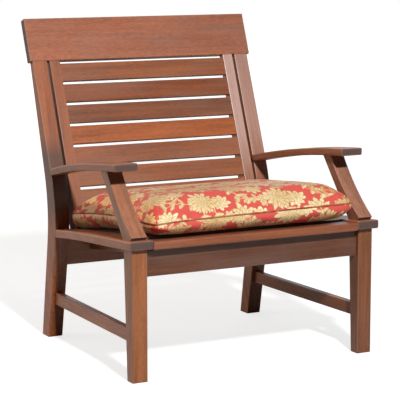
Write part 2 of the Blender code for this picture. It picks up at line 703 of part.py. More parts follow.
# Centres the chair over the origin
reach = [vert.co.y for piece in chair.children if not piece.hide_render for vert in piece.data.vertices]
chair.location.y = -(min(reach) + max(reach)) / 2.0
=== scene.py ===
import math

import bpy
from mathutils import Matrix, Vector


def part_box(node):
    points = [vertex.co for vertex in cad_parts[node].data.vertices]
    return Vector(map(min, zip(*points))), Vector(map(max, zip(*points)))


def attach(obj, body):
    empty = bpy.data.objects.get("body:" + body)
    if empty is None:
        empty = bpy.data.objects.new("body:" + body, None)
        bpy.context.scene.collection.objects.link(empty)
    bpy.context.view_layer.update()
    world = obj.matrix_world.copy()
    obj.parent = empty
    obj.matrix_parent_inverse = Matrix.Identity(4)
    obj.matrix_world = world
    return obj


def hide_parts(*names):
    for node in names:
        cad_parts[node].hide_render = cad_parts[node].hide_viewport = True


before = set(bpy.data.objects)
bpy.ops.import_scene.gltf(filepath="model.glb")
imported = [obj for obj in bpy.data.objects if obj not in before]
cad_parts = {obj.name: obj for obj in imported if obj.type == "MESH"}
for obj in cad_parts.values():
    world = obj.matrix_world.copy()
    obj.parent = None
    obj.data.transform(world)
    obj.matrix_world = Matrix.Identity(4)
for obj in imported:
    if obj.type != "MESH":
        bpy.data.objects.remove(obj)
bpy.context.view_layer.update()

# Front legs
# Straight hardwood legs, square in section and tapered behind towards the floor.
# Sawn, planed and oiled; each stands under a side board on a stub tenon.


def feed(tree, socket, value):
    """Links another node's output into a socket, or writes a plain value there."""
    if isinstance(value, bpy.types.NodeSocket):
        tree.links.new(value, socket)
    else:
        socket.default_value = value


def wire(tree, kind, settings=None, **sockets):
    """Adds a shader node; i0, i1 and so on are inputs by number, other keys are their names."""
    made = tree.nodes.new(kind)
    for key, value in (settings or {}).items():
        setattr(made, key, value)
    for key, value in sockets.items():
        numbered = key[0] == "i" and key[1:].isdigit()
        feed(tree, made.inputs[int(key[1:]) if numbered else key.replace("_", " ")], value)
    return made


def maths(tree, operation, *values):
    """One Math node, given its operands in order."""
    made = wire(tree, "ShaderNodeMath", {"operation": operation})
    for place, value in enumerate(values):
        feed(tree, made.inputs[place], value)
    return made.outputs[0]


def vectors(tree, operation, *values):
    """One Vector Math node, given its operands in order."""
    made = wire(tree, "ShaderNodeVectorMath", {"operation": operation})
    for place, value in enumerate(values):
        feed(tree, made.inputs[place], value)
    return made.outputs["Value" if operation in ("LENGTH", "DOT_PRODUCT") else "Vector"]


def mapped(tree, value, low, high, first=0.0, last=1.0):
    """Takes low..high to first..last and holds the ends."""
    made = wire(tree, "ShaderNodeMapRange", Value=value, From_Min=low, From_Max=high, To_Min=first, To_Max=last)
    return made.outputs[0]


def split(tree, vector):
    """The three parts of a vector."""
    return wire(tree, "ShaderNodeSeparateXYZ", Vector=vector).outputs


def blend_colours(tree, share, first, second, blend="MIX"):
    """Mix node for colours; first and second are sockets or colours."""
    made = wire(tree, "ShaderNodeMix", {"data_type": "RGBA", "blend_type": blend})
    for place, value in ((0, share), (6, first), (7, second)):
        feed(tree, made.inputs[place], value)
    return made.outputs[2]


def new_group(name, takes, gives):
    """Empty shader node group with named sockets."""
    group = bpy.data.node_groups.new(name, "ShaderNodeTree")
    for socket, kind, start in takes:
        made = group.interface.new_socket(name=socket, in_out="INPUT", socket_type="NodeSocket" + kind)
        if start is not None:
            made.default_value = start
    for socket, kind in gives:
        group.interface.new_socket(name=socket, in_out="OUTPUT", socket_type="NodeSocket" + kind)
    entry = group.nodes.new("NodeGroupInput")
    leave = group.nodes.new("NodeGroupOutput")
    return group, entry.outputs, leave.inputs


def new_material(name):
    """Empty material with its node tree and its Principled shader."""
    made = bpy.data.materials.new(name)
    made.use_nodes = True
    return made, made.node_tree, made.node_tree.nodes["Principled BSDF"]


grain, given, result = new_group(
    "oiled_hardwood_grain",
    [("Grain space", "Vector", None), ("Grain normal", "Vector", None),
     ("Light wood", "Color", (0.42, 0.150, 0.062, 1.0)), ("Dark wood", "Color", (0.18, 0.060, 0.028, 1.0)),
     ("Fleck", "Float", 0.25), ("Haze", "Float", 0.3), ("Bleach", "Float", 0.0), ("Stain", "Float", 0.0)],
    [("Color", "Color"), ("Roughness", "Float"), ("Height", "Float")])

# The fibres wander a little, so the streaks are never quite parallel to the board
WANDER_WAVES = (1.6, 7.0, 7.0)
WANDER_REACH = (0.0, 0.026, 0.026)
wander = wire(grain, "ShaderNodeTexNoise", Vector=vectors(grain, "MULTIPLY", given["Grain space"], WANDER_WAVES),
              Scale=1.0, Detail=2.0)
drift = vectors(grain, "MULTIPLY_ADD", wander.outputs["Color"], WANDER_REACH, given["Grain space"])


def fibres(along, across, detail, low=0.33, high=0.67):
    """Noise of so many waves a metre along and across the grain, spread to the full 0..1."""
    cloud = wire(grain, "ShaderNodeTexNoise", Vector=vectors(grain, "MULTIPLY", drift, (along, across, across)),
                 Scale=1.0, Detail=detail)
    return mapped(grain, cloud.outputs["Fac"], low, high)


bands = fibres(2.4, 46.0, 3.0, 0.36, 0.64)
streaks = fibres(6.0, 170.0, 3.0, 0.36, 0.64)
mottle = fibres(70.0, 260.0, 2.0)
pores = fibres(95.0, 1500.0, 1.0, 0.60, 0.72)
clouds = fibres(2.6, 9.0, 2.0, 0.44, 0.68)

BAND_SHARE, STREAK_SHARE, PORE_SHARE = 0.56, 0.44, 0.45
PORE_COLOUR = (0.055, 0.020, 0.011, 1.0)
figure = maths(grain, "MULTIPLY_ADD", streaks, STREAK_SHARE, maths(grain, "MULTIPLY", bands, BAND_SHARE))
figure = wire(grain, "ShaderNodeMix", {"data_type": "FLOAT"}, i0=given["Fleck"], i2=figure, i3=mottle).outputs[0]
face_colour = blend_colours(grain, figure, given["Dark wood"], given["Light wood"])
pore_share = maths(grain, "MULTIPLY", pores, PORE_SHARE)
face_colour = blend_colours(grain, pore_share, face_colour, PORE_COLOUR)

# A grey bloom in patches: partly weathering, partly painted sheen from broad reflections
BLOOM_AND_SHEEN_COLOUR = (0.240, 0.150, 0.120, 1.0)
BLOOM_AND_SHEEN_STRENGTH = 0.55
bloom_and_sheen = blend_colours(grain, BLOOM_AND_SHEEN_STRENGTH, face_colour, BLOOM_AND_SHEEN_COLOUR)
face_colour = blend_colours(grain, maths(grain, "MULTIPLY", clouds, given["Haze"]), face_colour, bloom_and_sheen)

# Painted sheen pales some boards, the light fibres first, and painted shade darkens others
PAINTED_SHEEN_COLOUR = (0.53, 0.345, 0.295, 1.0)
PAINTED_SHADE_COLOUR = (0.050, 0.034, 0.028, 1.0)
sheen_share = maths(grain, "MULTIPLY", given["Bleach"], maths(grain, "MULTIPLY_ADD", figure, 0.55, 0.72))
face_colour = blend_colours(grain, sheen_share, face_colour, PAINTED_SHEEN_COLOUR)
face_colour = blend_colours(grain, given["Stain"], face_colour, PAINTED_SHADE_COLOUR)

# Cut across, the fibres show as dark open pores in greyer wood
END_PORE_COLOUR = (0.048, 0.029, 0.025, 1.0)
END_WOOD_COLOUR = (0.135, 0.078, 0.068, 1.0)
END_FACING = (0.80, 0.93)
end_share = mapped(grain, maths(grain, "ABSOLUTE", split(grain, given["Grain normal"])[0]), *END_FACING)
end_colour = blend_colours(grain, fibres(0.0, 620.0, 2.0), END_PORE_COLOUR, END_WOOD_COLOUR)
timber_colour = blend_colours(grain, end_share, face_colour, end_colour)

# Along the arrises a paler line is painted: a painted highlight where the rounded edges catch the light
ARRIS_HIGHLIGHT_COLOUR = (0.46, 0.29, 0.215, 1.0)
ARRIS_HIGHLIGHT_WIDTH = 0.0022
ARRIS_HIGHLIGHT_STRENGTH = 0.60
ARRIS_FLATNESS = (0.995, 0.93)
arris_normal = wire(grain, "ShaderNodeBevel", {"samples": 4}, Radius=ARRIS_HIGHLIGHT_WIDTH)
true_normal = wire(grain, "ShaderNodeNewGeometry")
flatness = vectors(grain, "DOT_PRODUCT", arris_normal.outputs[0], true_normal.outputs["Normal"])
arris_highlight_share = mapped(grain, flatness, *ARRIS_FLATNESS, 0.0, ARRIS_HIGHLIGHT_STRENGTH)
arris_highlight_share = maths(grain, "MULTIPLY", arris_highlight_share, maths(grain, "MULTIPLY_ADD", streaks, 0.6, 0.3))
timber_colour = blend_colours(grain, arris_highlight_share, timber_colour, ARRIS_HIGHLIGHT_COLOUR)
feed(grain, result["Color"], timber_colour)

# Light streaks are the smoother ones, end grain is rougher, and pores lie open
DULL, SMOOTH, END_ROUGHER = 0.44, 0.34, 0.25
PORE_RELIEF, STREAK_RELIEF = -0.8, 0.3
gloss = mapped(grain, streaks, 0.0, 1.0, DULL, SMOOTH)
feed(grain, result["Roughness"], maths(grain, "MULTIPLY_ADD", end_share, END_ROUGHER, gloss))
relief = maths(grain, "MULTIPLY_ADD", pore_share, PORE_RELIEF, maths(grain, "MULTIPLY", streaks, STREAK_RELIEF))
feed(grain, result["Height"], relief)

# Painted sheen on front faces and painted shade go by height over the floor; painted shade also darkens the wood
# under the cushion
FRONT_FACING = (-0.4, -0.8)
SHEEN_HEIGHTS = (0.40, 0.58)
SHADE_FOOT_HEIGHTS = (0.33, 0.40)
SHADE_TOP_HEIGHTS = (0.60, 0.54)
COVERED_EDGE = 0.012
CUSHION_SHADE = 0.85
NEVER_COVERED = 10.0


def timber(node, turn, shift, light, dark, fleck=0.25, haze=0.35, bleach=0.0, stain=0.0, covered_from=NEVER_COVERED):
    """Oils one CAD piece: turn lays the grain along it, shift picks its own stretch of grain.

    Front faces get a painted sheen above the seat, and painted shade darkens the wood between the seat and the arms.
    Behind covered_from the cushion lies on the piece, and painted shade keeps it dark there.
    """
    wood, tree, shader = new_material(node + "_timber")
    place = wire(tree, "ShaderNodeTexCoord").outputs
    along = wire(tree, "ShaderNodeMapping", Vector=place["Object"], Location=shift, Rotation=turn)
    facing = wire(tree, "ShaderNodeMapping", {"vector_type": "VECTOR"}, Vector=place["Normal"], Rotation=turn)
    depth, height = split(tree, place["Object"])[1:3]
    front_side = mapped(tree, split(tree, place["Normal"])[1], *FRONT_FACING)
    sheen_by_height = mapped(tree, height, *SHEEN_HEIGHTS, 0.0, bleach)
    shade_by_height = mapped(tree, height, *SHADE_TOP_HEIGHTS, 0.0, stain)
    above_seat = mapped(tree, height, *SHADE_FOOT_HEIGHTS)
    covered = mapped(tree, depth, covered_from, covered_from + COVERED_EDGE, 0.0, CUSHION_SHADE)
    finish = wire(tree, "ShaderNodeGroup", {"node_tree": grain},
                  Grain_space=along.outputs[0], Grain_normal=facing.outputs[0],
                  Light_wood=(*light, 1.0), Dark_wood=(*dark, 1.0), Fleck=fleck, Haze=haze,
                  Bleach=maths(tree, "MULTIPLY", sheen_by_height, front_side),
                  Stain=maths(tree, "MAXIMUM", maths(tree, "MULTIPLY", shade_by_height, above_seat), covered)).outputs
    bump = wire(tree, "ShaderNodeBump", Strength=0.25, Distance=0.0006, Height=finish["Height"])
    feed(tree, shader.inputs["Base Color"], finish["Color"])
    feed(tree, shader.inputs["Roughness"], finish["Roughness"])
    feed(tree, shader.inputs["Normal"], bump.outputs[0])
    feed(tree, shader.inputs["Specular IOR Level"], 0.45)
    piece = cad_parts[node]
    piece.data.materials.clear()
    piece.data.materials.append(wood)


UPRIGHT = (0.0, math.radians(90), 0.0)
timber("front_leg_left", UPRIGHT, shift=(0.31, 0.17, 0.08),
       light=(0.445, 0.153, 0.052), dark=(0.180, 0.058, 0.020))
timber("front_leg_right", UPRIGHT, shift=(1.27, 0.53, 0.61),
       light=(0.310, 0.104, 0.039), dark=(0.120, 0.037, 0.014))

# Back posts
# Leg and upright in one, sawn to a bow from a wide board, so the grain runs up the raked part.
# Oiled hardwood, tenoned up into the crest; painted shade darkens the left one between seat and arm, and the right
# one has a painted sheen.
RAKE = math.radians(21.2)
UP_THE_BACK = (RAKE, math.radians(90), 0.0)
timber("back_post_left", UP_THE_BACK, shift=(2.11, 0.23, 0.37),
       light=(0.46, 0.134, 0.044), dark=(0.190, 0.054, 0.018), stain=0.76)
timber("back_post_right", UP_THE_BACK, shift=(3.05, 0.71, 0.19),
       light=(0.38, 0.125, 0.050), dark=(0.158, 0.050, 0.020), bleach=0.50)

# Aprons
# Hardwood rails on edge between the front legs and between the posts, tenoned at both ends.
# Plain sawn boards, oiled like the rest.
CROSSWISE = (0.0, 0.0, 0.0)
timber("front_apron", CROSSWISE, shift=(0.47, 1.13, 0.29),
       light=(0.170, 0.056, 0.023), dark=(0.062, 0.019, 0.0075), haze=0.6)
# The rear apron is lighter than the other wood: painted light for the bounce that reaches it under the seat
timber("rear_apron", CROSSWISE, shift=(1.83, 0.37, 0.93),
       light=(0.60, 0.24, 0.115), dark=(0.34, 0.13, 0.06))

# Side stretchers
# Low rails that tie each front leg to its post.
# Sawn from the same hardwood and tenoned at both ends.
ENDWISE = (0.0, 0.0, math.radians(-90))
timber("side_stretcher_left", ENDWISE, shift=(0.91, 0.33, 0.47),
       light=(0.50, 0.155, 0.050), dark=(0.210, 0.062, 0.022))
timber("side_stretcher_right", ENDWISE, shift=(1.57, 0.87, 0.15),
       light=(0.36, 0.106, 0.037), dark=(0.165, 0.048, 0.019))

# Seat bearers
# Hardwood rails under the slats, tenoned into both aprons.
# Notched down on top for the thicker end slats.
for node, shift in (("seat_bearer_left", (2.43, 0.19, 0.81)), ("seat_bearer_right", (3.31, 0.59, 0.27))):
    timber(node, ENDWISE, shift, light=(0.38, 0.125, 0.050), dark=(0.180, 0.056, 0.025))

# Seat side boards
# Long flat boards over the legs that sweep in to the posts and fall gently to the back.
# Sawn from wide hardwood; their front ends show end grain, their back ends are tenoned into the posts.
SEAT_FALL = math.radians(5.2)
DOWN_THE_SEAT = (SEAT_FALL, 0.0, math.radians(-90))
timber("seat_side_board_left", DOWN_THE_SEAT, shift=(0.63, 0.91, 0.35),
       light=(0.51, 0.154, 0.055), dark=(0.250, 0.074, 0.028))
timber("seat_side_board_right", DOWN_THE_SEAT, shift=(1.39, 0.43, 0.77),
       light=(0.50, 0.150, 0.053), dark=(0.240, 0.071, 0.027))

# Seat slats
# Hardwood cross slats tenoned into the side boards: a thick one in front, thin ones in the middle,
# and a thick one at the back that carries the stiles. Each is cut from another board.
SEAT_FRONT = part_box("seat_front_slat")[0].y
# Behind this the slats get painted shade, the shadow that the cushion casts on them
CUSHION_COVERS_FROM = SEAT_FRONT + 0.036
SEAT_SLAT_LIGHT = (0.385, 0.112, 0.040)
SEAT_SLAT_DARK = (0.160, 0.045, 0.016)
TONE_SPREAD = 0.07
seat_slats = ["seat_front_slat", *[f"seat_slat_{number}" for number in range(1, 8)], "seat_rear_slat"]
for count, node in enumerate(seat_slats):
    tone = 1.0 + TONE_SPREAD * math.sin(2.3 * count + 0.4)
    timber(node, CROSSWISE, shift=(0.71 * count, 0.37 * count, 0.53 * count + 0.2),
           light=[ink * tone for ink in SEAT_SLAT_LIGHT], dark=[ink * tone for ink in SEAT_SLAT_DARK],
           covered_from=CUSHION_COVERS_FROM)

# Back stiles
# Inner uprights of the back panel, a finger's width inside the posts, tapered behind.
# Hardwood, tenoned into the crest and into the rear slat, which they lap; the right one has a painted sheen.
timber("back_stile_left", UP_THE_BACK, shift=(1.71, 0.83, 0.59),
       light=(0.43, 0.128, 0.044), dark=(0.180, 0.053, 0.018))
timber("back_stile_right", UP_THE_BACK, shift=(2.87, 0.29, 1.07),
       light=(0.42, 0.155, 0.072), dark=(0.210, 0.074, 0.036), bleach=0.85)

# Back slats
# Thin flat hardwood slats, tenoned into both stiles.
# Each is cut from another board, so their tone differs slightly.
SLAT_LIGHTER, SLAT_DARKER = 1.42, 0.58
slat_tones = [(0.263, 0.082, 0.031), (0.217, 0.060, 0.020), (0.205, 0.064, 0.026), (0.360, 0.099, 0.029),
              (0.295, 0.090, 0.034), (0.275, 0.086, 0.032), (0.288, 0.089, 0.032), (0.280, 0.085, 0.032)]
for number, tone in enumerate(slat_tones, start=1):
    timber(f"back_slat_{number}", CROSSWISE, shift=(0.57 * number + 0.3, 0.41 * number, 0.67 * number),
           light=[SLAT_LIGHTER * ink for ink in tone], dark=[SLAT_DARKER * ink for ink in tone], haze=0.6)

# Crest board
# The broad top rail, from one wide, lightly flecked hardwood board.
# It caps posts and stiles, whose tenons go up into it.
timber("crest_board", CROSSWISE, shift=(0.83, 0.61, 0.23),
       light=(0.455, 0.146, 0.068), dark=(0.218, 0.069, 0.034), fleck=0.45, haze=0.75)

# Arm struts
# Raked hardwood struts over the front legs, hollowed in front.
# Stub tenoned into the side boards below and the arms above.
STRUT_LEAN = math.radians(39.5)
UP_THE_STRUT = (STRUT_LEAN, math.radians(90), 0.0)
timber("arm_strut_left", UP_THE_STRUT, shift=(0.39, 0.61, 0.97),
       light=(0.445, 0.168, 0.082), dark=(0.190, 0.071, 0.035))
timber("arm_strut_right", UP_THE_STRUT, shift=(1.19, 0.27, 0.43),
       light=(0.43, 0.188, 0.115), dark=(0.190, 0.081, 0.049), haze=0.7)

# Arms
# Arched hardwood boards, broad in front and swept in to the posts.
# They sit on the struts and are tenoned into the posts behind.
ARM_FALL = math.radians(8.3)
DOWN_THE_ARM = (ARM_FALL, 0.0, math.radians(-90))
timber("arm_left", DOWN_THE_ARM, shift=(0.23, 1.01, 0.49),
       light=(0.41, 0.140, 0.062), dark=(0.175, 0.059, 0.027))
timber("arm_right", DOWN_THE_ARM, shift=(1.47, 0.67, 0.83),
       light=(0.49, 0.178, 0.073), dark=(0.220, 0.078, 0.033))

# Seat cushion
# Loose knife-edge cushion: two panels of printed cotton sewn together over a foam filling.
# It lies on the slats between the struts, fuller in the middle, its sides drawn in between the corners.
SEAT_HEIGHT = 0.3835
SEAT_LENGTH = 0.5065
GENTLE_FALL, STEEP_FALL = math.tan(math.radians(3.4)), math.tan(math.radians(7.0))


def seat_level(y):
    """Height of the slats' tops, which fall more steeply towards the back."""
    along = y - SEAT_FRONT
    return SEAT_HEIGHT - GENTLE_FALL * along - (STEEP_FALL - GENTLE_FALL) * along * along / (2.0 * SEAT_LENGTH)


def eased(share):
    """Smooth step from 0 to 1."""
    share = min(max(share, 0.0), 1.0)
    return share * share * (3.0 - 2.0 * share)


LEGS_FRONT = SEAT_FRONT + 0.0145
CUSHION_HALF = 0.3270
CUSHION_FRONT = LEGS_FRONT + 0.0125
CUSHION_DEPTH = 0.5055
CUSHION_THICK = 0.104
SIDE_DRAW = 0.015
FRONT_DRAW = 0.004
CORNER_ROUND = 0.009

# The seam's height over the slats at the four corners: front left and right, back left and right.
# The front left corner is drawn in and sags, and the seam rises a little along the left side.
SEAM_HEIGHTS = (0.041, 0.052, 0.046, 0.044)
CORNER_TUCK = 0.024
CORNER_SAG = 0.004
SIDE_SEAM_RISE = 0.006

# Higher powers carry a panel further out before it turns to the seam; the top is fuller to the right
TOP_POWER_SIDE, TOP_POWER_TO_RIGHT, TOP_POWER_FRONT = 7.0, 2.5, 7
UNDER_POWER_SIDE, UNDER_POWER_FRONT = 18, 34

# The underside lifts off the slats towards the front and the sides, and swells past the seam
REST_GAP = 0.0006
FRONT_LIFT, FRONT_LIFT_FROM, FRONT_LIFT_RUN = 0.0095, 0.52, 0.36
SIDE_LIFT, SIDE_LIFT_FROM, SIDE_LIFT_RUN = 0.010, 0.70, 0.22
SIDE_LIFT_END, SIDE_LIFT_FADE = 0.80, 0.5
LOWER_BULGE = 0.0160
SIDE_BULGE_SHARE = 0.6
BULGE_TO_PEAK = 2.6


def panel_point(u, v, top):
    """Point of a panel for u, v in -1..1: seam all round, swelling to the middle."""
    half_y = CUSHION_DEPTH / 2.0
    x = u * (CUSHION_HALF - SIDE_DRAW * (1.0 - v * v) * u * u)
    y = v * (half_y - FRONT_DRAW * (1.0 - u * u) * v * v)
    corner = CORNER_ROUND * (u * v) ** 12
    tuck = max(0.0, -u) ** 5 * max(0.0, -v) ** 4
    x -= math.copysign(corner, u) - CORNER_TUCK * tuck
    y += CUSHION_FRONT + half_y - math.copysign(corner, v)
    across, back = (u + 1.0) / 2.0, (v + 1.0) / 2.0
    front_left, front_right, rear_left, rear_right = SEAM_HEIGHTS
    seam = ((front_left * (1 - across) + front_right * across) * (1 - back)
            + (rear_left * (1 - across) + rear_right * across) * back)
    seam += SIDE_SEAM_RISE * max(0.0, -u) ** 5 * 4.0 * back * (1.0 - back) - CORNER_SAG * tuck
    if top:
        power = TOP_POWER_SIDE + TOP_POWER_TO_RIGHT * u
        over = math.sqrt((1.0 - abs(u) ** power) * (1.0 - abs(v) ** TOP_POWER_FRONT))
        lift = seam + (CUSHION_THICK - seam) * over
        return Vector((x, y, seat_level(y) + lift))
    sideways, endways = abs(u) ** UNDER_POWER_SIDE, abs(v) ** UNDER_POWER_FRONT
    under = math.sqrt((1.0 - sideways) * (1.0 - endways))
    clear_front = FRONT_LIFT * eased((-v - FRONT_LIFT_FROM) / FRONT_LIFT_RUN)
    clear_side = SIDE_LIFT * eased((abs(u) - SIDE_LIFT_FROM) / SIDE_LIFT_RUN)
    clear_side *= eased((SIDE_LIFT_END - v) / SIDE_LIFT_FADE)
    lift = REST_GAP + (seam - REST_GAP) * (1.0 - under) + max(clear_front, clear_side) * under
    level = seat_level(y)
    if sideways + endways > 0.0:
        bulge = BULGE_TO_PEAK * LOWER_BULGE * math.sqrt(under) * (1.0 - under) / (sideways + endways)
        x += math.copysign(SIDE_BULGE_SHARE * bulge * sideways, u)
        y += math.copysign(bulge * endways, v)
    return Vector((x, y, level + lift))


SEAM_STEPS_X = 64
SEAM_STEPS_Y = 50
MEASURE_STEPS = 120
CLOTH_SCALE = 0.62


def sewn_panel(name, top, uv_middle):
    """One panel as a grid, shaped over the filling, with its cloth laid out flat in the UV map."""
    bpy.ops.object.select_all(action="DESELECT")
    bpy.ops.mesh.primitive_grid_add(x_subdivisions=SEAM_STEPS_X, y_subdivisions=SEAM_STEPS_Y, size=2.0)
    panel = bpy.context.object
    panel.name = name
    flat = [vert.co.copy() for vert in panel.data.vertices]
    for vert, spot in zip(panel.data.vertices, flat):
        u = math.sin(math.pi / 2.0 * spot.x)
        v = math.sin(math.pi / 2.0 * spot.y)
        vert.co = panel_point(u, v, top)

    def measured(axis):
        """Lengths over the panel from its middle to its edge, along one axis."""
        reach = [0.0]
        for step in range(MEASURE_STEPS):
            ends = []
            for share in (step / MEASURE_STEPS, (step + 1) / MEASURE_STEPS):
                place = math.sin(math.pi / 2.0 * share)
                ends.append(panel_point(place, 0.0, top) if axis == 0 else panel_point(0.0, place, top))
            reach.append(reach[-1] + (ends[1] - ends[0]).length)
        return reach

    def laid_out(reach, place):
        """Length of cloth from the middle to a place of the grid."""
        spot = abs(place) * (len(reach) - 1)
        below = min(int(spot), len(reach) - 2)
        return math.copysign(reach[below] + (reach[below + 1] - reach[below]) * (spot - below), place)

    reach_x, reach_y = measured(0), measured(1)
    layer = panel.data.uv_layers[0]
    layer.name = "cloth"
    for loop in panel.data.loops:
        spot = flat[loop.vertex_index]
        layer.data[loop.index].uv = (uv_middle[0] + CLOTH_SCALE * laid_out(reach_x, spot.x),
                                     uv_middle[1] + CLOTH_SCALE * laid_out(reach_y, spot.y))
    if not top:
        panel.data.flip_normals()
    return panel


# In the UV map the upper panel lies left of the middle and the lower panel right of it
UV_MIDDLE = 0.5
cushion = sewn_panel("seat_cushion_cover", True, (0.25, 0.5))
lower = sewn_panel("seat_cushion_underside", False, (0.75, 0.5))
bpy.ops.object.select_all(action="DESELECT")
lower.select_set(True)
cushion.select_set(True)
bpy.context.view_layer.objects.active = cushion
bpy.ops.object.join()
bpy.ops.object.mode_set(mode="EDIT")
bpy.ops.mesh.select_all(action="SELECT")
bpy.ops.mesh.remove_doubles(threshold=0.00005)
bpy.ops.mesh.select_all(action="DESELECT")
bpy.ops.object.mode_set(mode="OBJECT")

# The seam is where the two panels meet, and it keeps its line while the filling swells
edge_panels = {}
for face in cushion.data.polygons:
    above = cushion.data.uv_layers[0].data[face.loop_indices[0]].uv.x < UV_MIDDLE
    for key in face.edge_keys:
        edge_panels.setdefault(key, set()).add(above)
seam_edges = [key for key, sides in edge_panels.items() if len(sides) == 2]
seam_points = sorted({index for key in seam_edges for index in key})
pinned = cushion.vertex_groups.new(name="seam")
pinned.add(seam_points, 1.0, "REPLACE")

SWELL_FRAMES = 24
SWELL_LIMIT = 0.006
shaped = [vert.co.copy() for vert in cushion.data.vertices]
swelling = cushion.modifiers.new("swelling", "CLOTH")
cloth = swelling.settings
cloth.quality = 6
cloth.mass = 0.25
cloth.tension_stiffness = 18.0
cloth.compression_stiffness = 18.0
cloth.shear_stiffness = 6.0
cloth.bending_stiffness = 0.35
cloth.shrink_min = -0.012
cloth.use_pressure = True
cloth.uniform_pressure_force = 3.0
cloth.vertex_group_mass = "seam"
cloth.pin_stiffness = 1.0
cloth.effector_weights.gravity = 0.0
swelling.collision_settings.use_self_collision = False
swelling.point_cache.frame_start = 1
swelling.point_cache.frame_end = SWELL_FRAMES
scene = bpy.context.scene
for number in range(1, SWELL_FRAMES + 1):
    scene.frame_set(number)
puffed = cushion.evaluated_get(bpy.context.evaluated_depsgraph_get()).data
settled = [vert.co.copy() for vert in puffed.vertices]
cushion.modifiers.remove(swelling)
scene.frame_set(1)
for vert, before, after in zip(cushion.data.vertices, shaped, settled):
    move = after - before
    if move.length > SWELL_LIMIT:
        move *= SWELL_LIMIT / move.length
    spot = before + move
    spot.z = max(spot.z, seat_level(spot.y) + REST_GAP)
    vert.co = spot

rounding = cushion.modifiers.new("rounding", "SUBSURF")
rounding.levels = 1
rounding.render_levels = 1
bpy.context.view_layer.objects.active = cushion
bpy.ops.object.modifier_apply(modifier="rounding")
bpy.ops.object.select_all(action="DESELECT")
cushion.select_set(True)
bpy.ops.object.shade_smooth()

# The print is cream and gold blossoms with leaf sprays on a red ground, all over both panels.
# Each motif has a half-drop repeat, and chance turns every one and moves it a little.
lattice, given, result = new_group(
    "print_repeat",
    [("Cloth", "Vector", None), ("Width", "Float", 0.2), ("Height", "Float", 0.2), ("Offset", "Vector", None),
     ("Sway", "Float", 0.02)],
    [("Spot", "Vector"), ("Pick", "Float")])
moved = split(lattice, vectors(lattice, "ADD", given["Cloth"], given["Offset"]))
column = maths(lattice, "FLOOR", maths(lattice, "DIVIDE", moved[0], given["Width"]))
half_drop = maths(lattice, "MULTIPLY", maths(lattice, "FLOORED_MODULO", column, 2.0), 0.5)
dropped = maths(lattice, "MULTIPLY_ADD", half_drop, given["Height"], moved[1])
row = maths(lattice, "FLOOR", maths(lattice, "DIVIDE", dropped, given["Height"]))
middle_x = maths(lattice, "MULTIPLY", maths(lattice, "ADD", column, 0.5), given["Width"])
middle_y = maths(lattice, "MULTIPLY", maths(lattice, "ADD", row, 0.5), given["Height"])
in_cell = wire(lattice, "ShaderNodeCombineXYZ", X=maths(lattice, "SUBTRACT", moved[0], middle_x),
               Y=maths(lattice, "SUBTRACT", dropped, middle_y))
cell = wire(lattice, "ShaderNodeCombineXYZ", X=column, Y=row)
chance = wire(lattice, "ShaderNodeTexWhiteNoise", {"noise_dimensions": "2D"}, Vector=cell.outputs[0])
lean = vectors(lattice, "SUBTRACT", chance.outputs["Color"], (0.5, 0.5, 0.5))
sway = wire(lattice, "ShaderNodeVectorMath", {"operation": "SCALE"}, i0=lean, Scale=given["Sway"])
turned = wire(lattice, "ShaderNodeVectorRotate", {"rotation_type": "Z_AXIS"},
              Vector=vectors(lattice, "SUBTRACT", in_cell.outputs[0], sway.outputs[0]),
              Angle=maths(lattice, "MULTIPLY", chance.outputs["Value"], math.tau))
feed(lattice, result["Spot"], turned.outputs[0])
feed(lattice, result["Pick"], chance.outputs["Value"])

# One ring of pointed petals of unequal length, outlined in a dark ink and paler to the tips
petals, given, result = new_group(
    "petal_ring",
    [("Radius", "Float", 0.0), ("Angle", "Float", 0.0), ("Tip", "Float", 1.0), ("Root", "Float", 0.5),
     ("Petals", "Float", 12.0), ("Phase", "Float", 0.0), ("Pick", "Float", 0.0)],
    [("Inside", "Float"), ("Tone", "Float")])
PETAL_SHORTER = -0.26
PETAL_POINT_POWER = 2.8
PETAL_EDGE = 0.03
OUTLINE_WIDTH, OUTLINE_TONE = 0.17, 0.14
turns = maths(petals, "DIVIDE", given["Angle"], math.tau)
turn_count = maths(petals, "MULTIPLY_ADD", turns, given["Petals"], given["Phase"])
petal_number = maths(petals, "FLOORED_MODULO", maths(petals, "FLOOR", turn_count), given["Petals"])
off_middle = maths(petals, "ABSOLUTE", maths(petals, "SUBTRACT", maths(petals, "FRACT", turn_count), 0.5))
ring_seed = maths(petals, "MULTIPLY_ADD", given["Pick"], 91.0, given["Tip"])
seed = wire(petals, "ShaderNodeCombineXYZ", X=petal_number, Y=ring_seed)
chance = wire(petals, "ShaderNodeTexWhiteNoise", {"noise_dimensions": "2D"}, Vector=seed.outputs[0]).outputs["Value"]
reach_out = maths(petals, "MULTIPLY", given["Tip"], maths(petals, "MULTIPLY_ADD", chance, PETAL_SHORTER, 1.0))
climb = mapped(petals, given["Radius"], given["Root"], reach_out)
breadth = maths(petals, "MULTIPLY_ADD", maths(petals, "POWER", climb, PETAL_POINT_POWER), -0.5, 0.5)
to_edge = maths(petals, "SUBTRACT", breadth, off_middle)
inside = mapped(petals, to_edge, -PETAL_EDGE, PETAL_EDGE)
short = maths(petals, "LESS_THAN", given["Radius"], reach_out)
feed(petals, result["Inside"], maths(petals, "MULTIPLY", inside, short))
outlined = mapped(petals, to_edge, 0.0, OUTLINE_WIDTH, OUTLINE_TONE, 1.0)
tipped = maths(petals, "MULTIPLY_ADD", climb, 0.85, maths(petals, "MULTIPLY_ADD", chance, -0.18, 0.56))
feed(petals, result["Tone"], maths(petals, "MULTIPLY", outlined, tipped))

